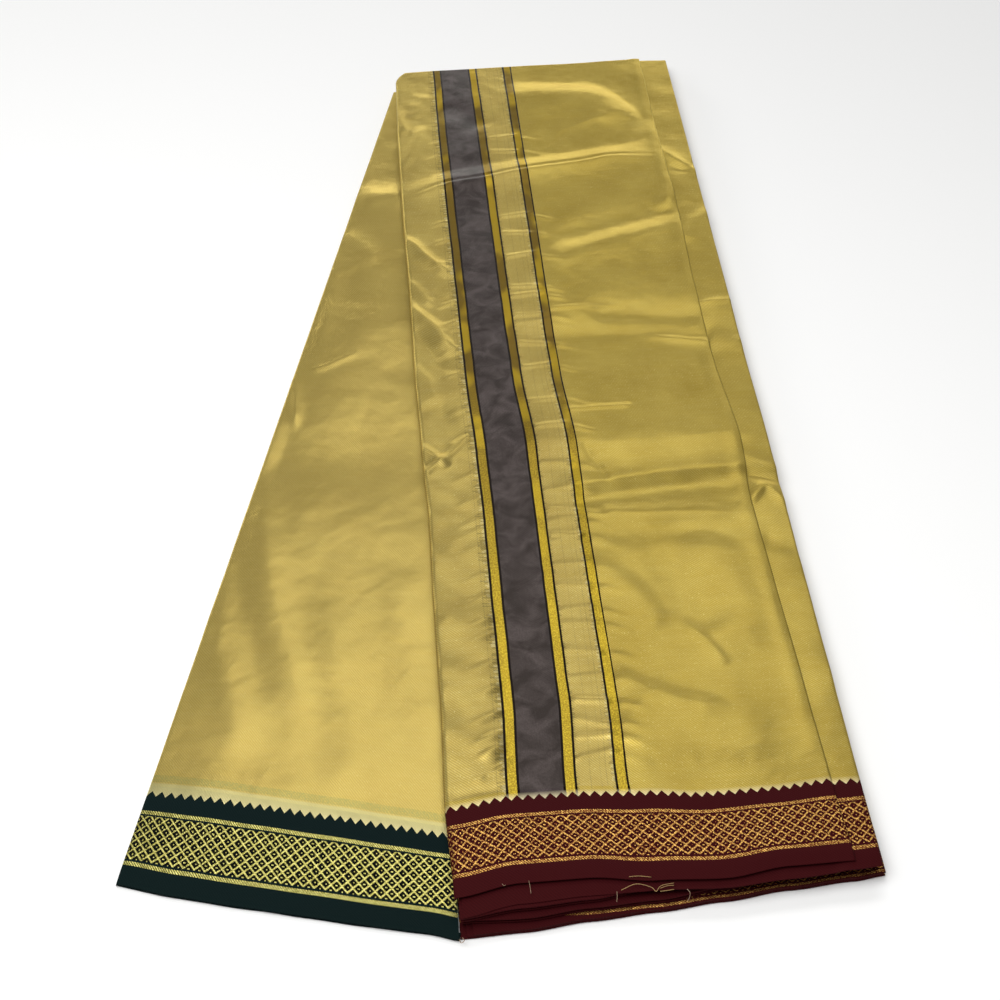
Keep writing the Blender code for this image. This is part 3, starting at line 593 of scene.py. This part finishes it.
def ripple(u, v, wave, seed):  # faint uneven lie, mostly from -1 to 1
    pick = np.random.default_rng(seed)
    z = np.zeros(np.shape(u))
    for _ in range(9):
        angle, phase = pick.uniform(0, math.pi), pick.uniform(0, 2 * math.pi)
        length = wave * pick.uniform(0.7, 1.6)
        z += np.sin(2 * math.pi * (u * math.cos(angle) + v * math.sin(angle)) / length + phase)
    return z / 5  # nine waves together seldom pass 5


# One pucker's height where a row of crimps shows it; v is how far up from the pucker
def crimp(c, v, tilt, start, fadeIn, end, fadeOut, share, drop, lean, tiltShare, pivot, half):
    span = smooth((c - start) / fadeIn) * smooth((end - c) / fadeOut)
    line = v + drop + (lean - tilt * tiltShare) * (c - pivot)
    return share * span * np.exp(-((line / half) ** 2))


def turned(past, radius):  # cloth turned down round a rim: how far out and how far down it gets
    turn = np.clip(past / radius, 0, math.pi)
    return radius * np.sin(turn) - np.maximum(past - math.pi * radius, 0), radius * (1 - np.cos(turn))


def clothHeight(y, hem, teethAt):  # height up the panel of cloth height y
    low = hem + y / stack["border"] * (teethAt - hem)
    high = y + (teethAt - stack["border"]) * (1 - smooth((y - stack["border"]) / 60))
    return np.where(y < stack["border"], low, high)


def hemLift(v, share):  # the hems rise a little over the flat of the stack
    return stack["hemRise"] * share * smooth(1 - v / stack["border"])


def cornerInset(v):  # of the rounded corners at the top
    r = stack["corner"]
    rise = np.clip(v - (stack["length"] - r), 0, 0.97 * r)
    return r - np.sqrt(r * r - rise * rise)


def edgeShift(edge, v):  # mm across
    return between(edges["heights"], edges[edge], v)


def secondRight(v):  # where the second panel ends, wider up the stack
    return stack["width"] + second["outset"] + second["outsetGrowth"] * v / stack["length"]


def stackSheet(c, y, panel):  # one folded panel of the stack: rims, folds and all
    left, right = panel["left"], stack["width"] + panel["outset"] - panel["foldRound"]
    topStart = stack["length"] - stack["topRound"]
    hemOut, hemDown = turned(np.maximum(stack["rim"] - y, 0), stack["rim"])
    topOut, topDown = turned(np.maximum(y - topStart, 0), stack["topRound"])
    rightOut, rightDown = turned(np.maximum(c - right, 0), panel["foldRound"])
    cc, yy = np.clip(c, left, right), np.clip(y, stack["rim"], topStart)
    hem, teethAt = between(stations, hemLines[panel["line"]], cc), between(stations, teethLine, cc)
    v = clothHeight(yy, hem, teethAt) + stack["topSlope"] * cc * yy / stack["length"]
    pressed = stack["press"] * np.exp(-((yy / stack["pressReach"]) ** 2))
    z = panel["top"] + hemLift(v, panel["lift"]) - pressed + relief(stackFolds, cc, v)
    u = cc
    if panel is front:
        leftOut, leftDown = turned(np.maximum(left - c, 0), left)
        spread = np.clip(cc / stack["width"], 0, 1)
        shift = edgeShift("left", v) * (1 - spread) + edgeShift("right", v) * spread
        shift += edgeShift("band", v) * np.exp(-(((cc - panel["bandAt"]) / panel["bandReach"]) ** 2))
        shift += cornerInset(v) * np.maximum(0, 1 - cc / (2 * stack["corner"]))
        lie = relief(frontFolds, cc, v)
        z = z + np.where(lie < 0, panel["deepest"] * np.tanh(lie / panel["deepest"]), lie)
        z += panel["uneven"] * ripple(cc, v, 46, 3) * smooth(v / 60)
        roll = np.exp(-(((cc - panel["rollAt"]) / panel["rollHalf"]) ** 2))
        z += panel["roll"] * roll * smooth((v - 40) / 60)
        strip = 1 - smooth((cc - 18) / 10)  # the left strip lies loose, most of all in its lower half
        lower = smooth((330 - v) / 80)
        loose = panel["loose"] + (panel["looseStrip"] + panel["looseBelow"] * lower) * strip
        z += loose * ripple(cc, v + 0.6 * cc, 15, 8) * smooth((v - 40) / 30)
        for height, tilt, depth in puckers:
            z += depth * sum(crimp(cc, v - height, tilt, *row) for row in crimps)
        u = u - leftOut + rightOut + shift
        z = z - leftDown
    else:
        grow = np.clip((cc - panel["shownFrom"]) / (right - panel["shownFrom"]), 0, 1)
        u = u + grow * (secondRight(v) - secondRight(0)) + rightOut
        hidden = smooth((panel["shownFrom"] + 1 - cc) / 6)
        lie = relief(secondFolds, u, v) + panel["uneven"] * ripple(u, v, 30, 8)
        z = z - panel["hiddenBy"] * hidden + lie * (1 - hidden)
        z -= panel["sink"] * smooth((u - panel["sinkFrom"]) / 14)
    v = v - hemOut + topOut
    return onTable("stack", u, v, z - hemDown - topDown - rightDown)


wing = dict(
    lean=0.0095, tuck=1.2, length=625, swell=2.4, swellReach=34, swellEnds=634, top=2.6,
    edgeRound=1.1, rim=0.3, press=0.5, uneven=0.22,
)
wingStations = (0, 25, 50, 80, 110, 130, 146)
wingHem = (0.4, -1.7, -2.5, -2.9, -3.4, -3.2, -4.6)
wingTeeth = (47.4, 46.8, 46.2, 45.4, 44.4, 43.6, 43)


def wingRight(b):  # where the stack's left side comes down on the fanned panel
    (stackX, stackY), stackTurn = spots["stack"]
    (wingX, wingY), wingTurn = spots["wing"]
    footX, footY = rotated(wing["tuck"], 0, stackTurn)
    a0, b0 = rotated(stackX + footX - wingX, stackY + footY - wingY, -wingTurn)
    da, db = rotated(0, 1, stackTurn - wingTurn)
    return a0 + (b - b0) * da / db


def wingSpan(b):  # how much of the fanned panel shows at height b
    return wingRight(b) + wing["lean"] * b


wingWidth = wingSpan(0)


def wingTop(a, b):  # the fanned panel lies higher towards the stack
    inset = np.clip((a + wing["lean"] * b) / wing["swellReach"], 0, 1)
    up = np.clip(b / stack["border"], 0, 1)
    down = np.clip((wing["swellEnds"] - b) / (3 * stack["border"]), 0, 1)
    return wing["top"] + wing["swell"] * np.sin(0.5 * math.pi * inset) * up * down


def wingUp(a, y):  # height up the fanned panel of cloth height y
    return clothHeight(y, between(wingStations, wingHem, a), between(wingStations, wingTeeth, a))


def wingSheet(c, y):  # the fanned panel, narrowed where the stack lies on it
    edge = wing["edgeRound"]
    hemOut, hemDown = turned(np.maximum(wing["rim"] - y, 0), wing["rim"])
    leftOut, leftDown = turned(np.maximum(edge - c, 0), edge)
    a, yy = np.maximum(c, edge), np.maximum(y, wing["rim"])
    share = (a - edge) / (wingWidth - edge)
    b = wingUp(a, yy)
    a = edge + share * np.maximum(wingSpan(b) - edge, 0.3) - wing["lean"] * b
    b = wingUp(a, yy)
    inside = 0.25 + 0.75 * smooth((a + wing["lean"] * b) / 9)  # folds die away at the left fold
    z = wingTop(a, b) + relief(wingFolds, a, b) * smooth((b - 30) / 40) * inside
    z += wing["uneven"] * ripple(a, b, 60, 5) * smooth((b - 20) / 50) * smooth((600 - b) / 60)
    z -= wing["press"] * np.exp(-((yy / stack["pressReach"]) ** 2))
    return onTable("wing", a - leftOut, b - hemOut, z - hemDown - leftDown)


# Meshes


pieces, cuts = {}, {}  # each piece by its name, and each sheet's width and length in metres


def addMesh(name, node, points, faces, weave, bake, material):
    mesh = bpy.data.meshes.new(name)
    mesh.from_pydata(points.tolist(), [], faces)
    corners = np.zeros(len(mesh.loops), dtype=np.int32)
    mesh.loops.foreach_get("vertex_index", corners)
    for layer, spread in (("weave", weave), ("OFBake", bake)):
        made = mesh.uv_layers.new(name=layer)
        spread = spread if len(spread) == len(corners) else spread[corners]
        made.data.foreach_set("uv", spread.astype(np.float32).ravel())
    mesh.uv_layers["OFBake"].active = True
    mesh.materials.append(material)
    mesh.shade_smooth()
    made = bpy.data.objects.new(name, mesh)
    scene.collection.objects.link(made)
    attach(made, "root")
    if node:
        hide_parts(node)
    pieces[name] = made


def steps(start, end, size):
    return np.linspace(start, end, max(2, int(round((end - start) / size)) + 1))


def gridFaces(grid):  # each point's number in a grid, and the quads between them
    index = np.arange(grid.size).reshape(grid.shape)
    quads = np.stack((index[:-1, :-1], index[:-1, 1:], index[1:, 1:], index[1:, :-1]), -1)
    return index, quads.reshape(-1, 4)


def laidSheet(name, node, cs, ys, panel, material):
    c, y = np.meshgrid(cs, ys)
    points = wingSheet(c, y) if panel is wing else stackSheet(c, y, panel)
    # the fanned field narrows up the cloth, and its yarns don't; its border keeps to the hem
    across = c * np.maximum(wingSpan(y), 1) / wingWidth if material is wingCloth else c
    weave = np.stack((across, y), -1).reshape(-1, 2)
    size = max(np.ptp(cs), np.ptp(ys))
    bake = (np.stack((c, y), -1).reshape(-1, 2) - (cs[0], ys[0])) / size * 0.98 + 0.01
    addMesh(name, node, points.reshape(-1, 3), gridFaces(c)[1].tolist(), weave, bake, material)
    cuts[name] = (np.ptp(cs) * mm, np.ptp(ys) * mm)


def leafBlock(spot, look, seed):  # folded cloth as a slab whose rims swell with each leaf
    s, t = np.meshgrid(np.linspace(0, 1, look["across"] + 1), np.linspace(0, 1, look["up"] + 1))
    a = s * 170  # mm, a first guess that four passes settle
    for _ in range(4):
        b = look["front"](a) + t * (look["back"](a) - look["front"](a))
        a = look["left"](b) + s * (look["right"](b) - look["left"](b))
    z = look["top"](a, b)
    index, faces = gridFaces(a)
    loop = np.concatenate((index[0, :-1], index[:-1, -1], index[-1, :0:-1], index[:0:-1, 0]))
    flatA, flatB, flatZ = a.ravel(), b.ravel(), z.ravel()
    la, lb, lz = flatA[loop], flatB[loop], flatZ[loop]
    da, db = np.roll(la, -1) - np.roll(la, 1), np.roll(lb, -1) - np.roll(lb, 1)
    length = np.hypot(da, db)
    outA, outB = db / length, -da / length
    travel = np.concatenate(([0], np.cumsum(np.hypot(np.diff(la), np.diff(lb)))))
    base = look["base"](la, lb)
    pick = np.random.default_rng(seed)
    rings = []
    for leaf in range(look["leaves"]):
        tall = (lz - base) / look["leaves"]
        centre = lz - (leaf + 0.5) * tall
        stray = np.zeros(la.shape)
        for wave in (23, 41, 90, 170):
            stray += look["stray"] * 0.4 * np.sin(2 * math.pi * travel / wave + pick.uniform(0, 6.3))
        stray += look["stray"] * pick.uniform(-0.7, 0.3)
        for degrees in (68, 34, 0, -34, -68):
            turn = math.radians(degrees)
            out = look["bulge"] * math.cos(turn) + stray
            rings.append((la + outA * out, lb + outB * out, centre + tall / 2 * math.sin(turn)))
    rings.append((la, lb, base))
    points = [onTable(spot, flatA, flatB, flatZ)] + [onTable(spot, *ring) for ring in rings]
    count, first = len(loop), a.size
    weaveGrid = np.stack((flatA, look["cloth"](flatA, flatB)), -1)
    # in the bake square the top lies below, and the rims' rings in a band over it
    bakeGrid = np.stack((s.ravel() * 0.98 + 0.01, t.ravel() * 0.58 + 0.01), -1)
    weave, bake = [weaveGrid[faces].reshape(-1, 2)], [bakeGrid[faces].reshape(-1, 2)]
    faces = faces.tolist()
    upper = loop
    share = np.append(travel, travel[-1] + 1) / (travel[-1] + 1) * 0.98 + 0.01
    k = np.arange(count)
    after = np.roll(k, -1)
    for ring in range(len(rings)):
        lower = first + ring * count + k
        faces += np.stack((lower, lower[after], upper[after], upper), -1).tolist()
        edge = weaveGrid[loop]
        weave.append(np.stack((edge, edge[after], edge[after], edge), 1).reshape(-1, 2))
        high, low = (0.62 + 0.35 * (1 - (ring + d) / len(rings)) for d in (0, 1))
        around = ((share[k], low), (share[k + 1], low), (share[k + 1], high), (share[k], high))
        corners = [np.stack((x, np.full(count, y)), -1) for x, y in around]
        bake.append(np.stack(corners, 1).reshape(-1, 2))
        upper = lower
    faces.append(upper[::-1].tolist())
    weave.append(weaveGrid[loop[::-1]])
    bake.append(np.full((count, 2), 0.993))
    return np.concatenate(points), faces, np.concatenate(weave), np.concatenate(bake)


def foldedLeaves(name, node, spot, looks, material):
    points, faces, weave, bake, start = [], [], [], [], 0
    for i, look in enumerate(looks):
        p, f, w, k = leafBlock(spot, look, 11 + i)
        points.append(p)
        faces += [[v + start for v in face] for face in f]
        weave.append(w)
        bake.append(k * (1 / len(looks), 1) + (i / len(looks), 0))
        start += len(p)
    points, weave, bake = (np.concatenate(part) for part in (points, weave, bake))
    addMesh(name, node, points, faces, weave, bake, material)


print("stage: shapes")

# The stack's front panel

# Each rim is first, last and how many of the finer rows or columns round a fold
frontLook = dict(
    leftRim=(-1.64, 2.2, 8), strip=3.2, band=26.3, bandEnd=78.5, flatTo=163, rightRim=(163.7, 165.1, 6),
    rowsTo=634, topRim=(635.4, 639.9, 9), cell=1.3, bandCell=1.05, rows=1.25, hemCell=1.2,
    hemRows=(-4, -2.2, -0.95, -0.7, -0.45, -0.2, 0.05, 0.3),
)
foldColumns = steps(frontLook["strip"], frontLook["band"], frontLook["cell"])
foldColumns = np.concatenate((np.linspace(*frontLook["leftRim"]), foldColumns))
bandColumns = steps(frontLook["band"], frontLook["bandEnd"], frontLook["bandCell"])
fieldColumns = steps(frontLook["bandEnd"], frontLook["flatTo"], frontLook["cell"])
fieldColumns = np.concatenate((fieldColumns, np.linspace(*frontLook["rightRim"])))
fieldRows = steps(stack["fieldEnds"], frontLook["rowsTo"], frontLook["rows"])
fieldRows = np.concatenate((fieldRows, np.linspace(*frontLook["topRim"])))
hemRows = steps(frontLook["hemCell"], stack["fieldEnds"], frontLook["hemCell"])
hemRows = np.concatenate((frontLook["hemRows"], hemRows))
borderColumns = np.concatenate((foldColumns, bandColumns[1:], fieldColumns[1:]))
laidSheet("endStrip", "front_end_strip", foldColumns, fieldRows, front, endBand)
laidSheet("endBand", "end_band", bandColumns, fieldRows, front, endBand)
laidSheet("frontField", "front_field", fieldColumns, fieldRows, front, goldCloth)
laidSheet("frontBorder", "front_border", borderColumns, hemRows, front, maroonBorder)
print("stage: front panel")

# The second panel, which shows as a strip on the right and a line at the hem

secondLook = dict(
    fineFrom=158, flatTo=174, rightRim=(174.8, 176.3, 6), hiddenCell=9, cell=1.3, hemCell=1.8
)
secondRim = np.linspace(*secondLook["rightRim"])
secondColumns = np.concatenate((
    steps(second["left"], secondLook["fineFrom"], secondLook["hiddenCell"])[:-1],
    steps(secondLook["fineFrom"], secondLook["flatTo"], secondLook["cell"]), secondRim,
))
hemColumns = steps(second["left"], secondLook["flatTo"], secondLook["hemCell"])
hemColumns = np.concatenate((hemColumns, secondRim))
laidSheet("secondField", "second_field", secondColumns, fieldRows, second, goldCloth)
laidSheet("secondBorder", "second_border", hemColumns, hemRows, second, maroonBorder)
print("stage: second panel")

# Hems and folds of the layers below

rolledUnder = (0, 2, 6.6, 7.5, 7.8, 7.9, 7.9, 7.9)  # mm of the lowest selvedge, at the stations
hemLeaves = (  # hem line, set back, top, thickness, share of rise, left end, right end
    ("third", 0, 9.9, 1, 0.5, 1.9, 176.4), ("third", 1, 8.85, 0.95, 0.5, 2.8, 175.6),
    ("third", 0.3, 7.85, 0.9, 0.4, 2, 176.2),
    ("fourth", 0, 6.6, 1, 0.25, 1.8, 176.9), ("fourth", 0.9, 5.55, 0.95, 0.2, 3, 176),
    ("fourth", 0.2, 4.55, 0.9, 0.1, 1.9, 176.8),
    ("lowest", 0, 3.3, 1.05, 0, 6.8, 178.6), ("lowest", 0.15, 2.2, 1.05, 0, 4.2, 178),
    ("lowest", 0, 1.1, 1.1, 0, 1.6, 178.7),
)
leafLook = dict(
    rim=0.4, press=0.3, pressReach=4, uneven=0.1, wave=35, back=46, floor=0.02, lowestTeeth=1.5
)


def hemLeaf(line, setBack, top, thick, share, left, right):
    rim = leafLook["rim"]

    def hem(u):
        return between(stations, hemLines[line], u) + setBack

    def cloth(u, v):
        rise = (v - hem(u)) * stack["border"] / (between(stations, teethLine, u) - hem(u))
        if line == "lowest":
            return between(stations, rolledUnder, u) + rise * leafLook["lowestTeeth"]
        return rise

    def height(u, v):
        pressed = leafLook["press"] * np.exp(-(((v - hem(u)) / leafLook["pressReach"]) ** 2))
        uneven = leafLook["uneven"] * ripple(u, v, leafLook["wave"], len(line))
        return top + hemLift(v, share) - pressed + uneven

    return dict(
        left=lambda v: left + rim, right=lambda v: right - rim, front=lambda u: hem(u) + rim,
        back=lambda u: leafLook["back"], top=height, cloth=cloth, leaves=1, bulge=rim, stray=0,
        base=lambda u, v: np.maximum(height(u, v) - thick, leafLook["floor"]), across=130, up=24,
    )


for line, name, node in (
    ("third", "thirdHem", "third_hem"), ("fourth", "fourthHem", "fourth_hem"),
    ("lowest", "lowestBorder", "lowest_border"),
):
    leaves = [hemLeaf(*row) for row in hemLeaves if row[0] == line]
    foldedLeaves(name, node, "stack", leaves, maroonBorder)
# The many folded layers between the second panel and the table, their rims set in from the rest
coreLook = dict(
    left=lambda v: 2.5 + cornerInset(v), right=lambda v: secondRight(v) - 0.6 - 0.08 * cornerInset(v),
    front=lambda u: 46.9, back=lambda u: stack["length"] + stack["topSlope"] * u - 1.2,
    top=lambda u, v: 9.9 + relief(stackFolds, u, v), base=lambda u, v: 0 * u, cloth=lambda u, v: v,
    leaves=12, bulge=0.5, stray=0.45, across=70, up=200,
)
foldedLeaves("foldedCore", "folded_core", "stack", [coreLook], goldCloth)
print("stage: hems and core")

# The fanned under half

wingLook = dict(
    leftRim=(-1, 1.1, 6), flatFrom=2.4, cell=1.5, rows=1.5, hemFrom=1.2, hemCell=1.3, ends=46.6
)
wingColumns = steps(wingLook["flatFrom"], wingWidth, wingLook["cell"])
wingColumns = np.concatenate((np.linspace(*wingLook["leftRim"]), wingColumns))
wingHemRows = steps(wingLook["hemFrom"], wingLook["ends"], wingLook["hemCell"])
wingHemRows = np.concatenate((frontLook["hemRows"], wingHemRows))
wingRows = steps(wingLook["ends"], wing["length"], wingLook["rows"])
laidSheet("wingField", "wing_field", wingColumns, wingRows, wing, wingCloth)
laidSheet("wingBorder", "wing_border", wingColumns, wingHemRows, wing, greenBorder)
# The leaves under it, set in a little; they end in a point where the stack's side meets the left edge
wingUnderLook = dict(
    left=lambda b: 0.5 - wing["lean"] * b,
    right=lambda b: np.maximum(wingRight(b) - 0.3, 1.2 - wing["lean"] * b),
    front=lambda a: between(wingStations, wingHem, a) + 0.7, back=lambda a: 599,
    top=lambda a, b: 1.0 + 0.1 * (wingTop(a, b) - wing["top"]), base=lambda a, b: 0 * a,
    cloth=lambda a, b: (b - between(wingStations, wingHem, a)) * stack["border"] / 47, leaves=2,
    bulge=0.4, stray=0.2, across=60, up=200,
)
foldedLeaves("wingUnder", "wing_under", "wing", [wingUnderLook], greenBorder)
print("stage: fanned half")

# Loose yarns at the hems: yarn, radius, then its run, across, up and height, all in mm

looseYarns = (
    (zariYarn, 0.13, 70.9, 3, 14.5, 75, 2.9, 14.7, 79.9, 2.1, 14.5),
    (
        zariYarn, 0.14, 67.1, -2.1, 13.1, 73.4, -0.2, 13.9, 79.3, -1.7, 13.2, 81.1, -3.7, 13,
        83.4, -1.5, 13.4, 88.8, -0.5, 13.2,
    ),
    (zariYarn, 0.13, 82.9, -2.4, 13, 85.8, -1.7, 13.3, 88.7, -1.5, 13.1),
    (zariYarn, 0.13, 82.7, -3.8, 12.9, 85.5, -3.7, 13.1, 88.4, -3.3, 12.9),
    (cottonYarn, 0.11, 93.7, -3.3, 12.6, 94.7, -4.8, 12.2, 94.4, -6.2, 11, 93.5, -7, 9.5),
    (cottonYarn, 0.11, 65.4, -2.4, 12.8, 65.3, -4.2, 12, 65, -5.7, 10.5),
    (cottonYarn, 0.1, 30.5, 4.4, 14.4, 30.8, 2, 13.2, 30.9, -0.6, 12.9),
    (cottonYarn, 0.1, 19.6, 3.9, 14.2, 20.4, 3.4, 13.7, 21, 3.8, 13.5),
    (cottonYarn, 0.16, 1.1, -13, 2.6, 1.8, -14.2, 2, 3.1, -13.4, 2.4, 2.4, -12.4, 3),
)


def yarnTube(name, radius, points, material):
    run = onTable("stack", *softLine(np.reshape(points, (-1, 3)), 5).T) / mm
    sides, count = 7, len(run)
    ahead = np.gradient(run, axis=0)
    ahead /= np.linalg.norm(ahead, axis=1)[:, None]
    side = np.cross(ahead, (0.1, 0.2, 1.0))
    side /= np.linalg.norm(side, axis=1)[:, None]
    up = np.cross(side, ahead)
    around = [2 * math.pi * k / sides for k in range(sides)]
    points = np.stack([run + radius * (side * math.cos(t) + up * math.sin(t)) for t in around], 1)
    faces = [
        (i + k, i + (k + 1) % sides, i + sides + (k + 1) % sides, i + sides + k)
        for i in range(0, (count - 1) * sides, sides) for k in range(sides)
    ]
    faces += [tuple(range(sides - 1, -1, -1)), tuple(range((count - 1) * sides, count * sides))]
    grid = np.stack(np.meshgrid(np.arange(sides) / sides, np.arange(count) / count), -1).reshape(-1, 2)
    points = points.reshape(-1, 3) * mm
    addMesh(name, None, points, faces, grid, grid * 0.9 + 0.05, material)
    return pieces[name]


yarns = [
    yarnTube(f"looseYarn{i + 1}", radius, points, yarn)
    for i, (yarn, radius, *points) in enumerate(looseYarns)
]
print("stage: loose yarns")
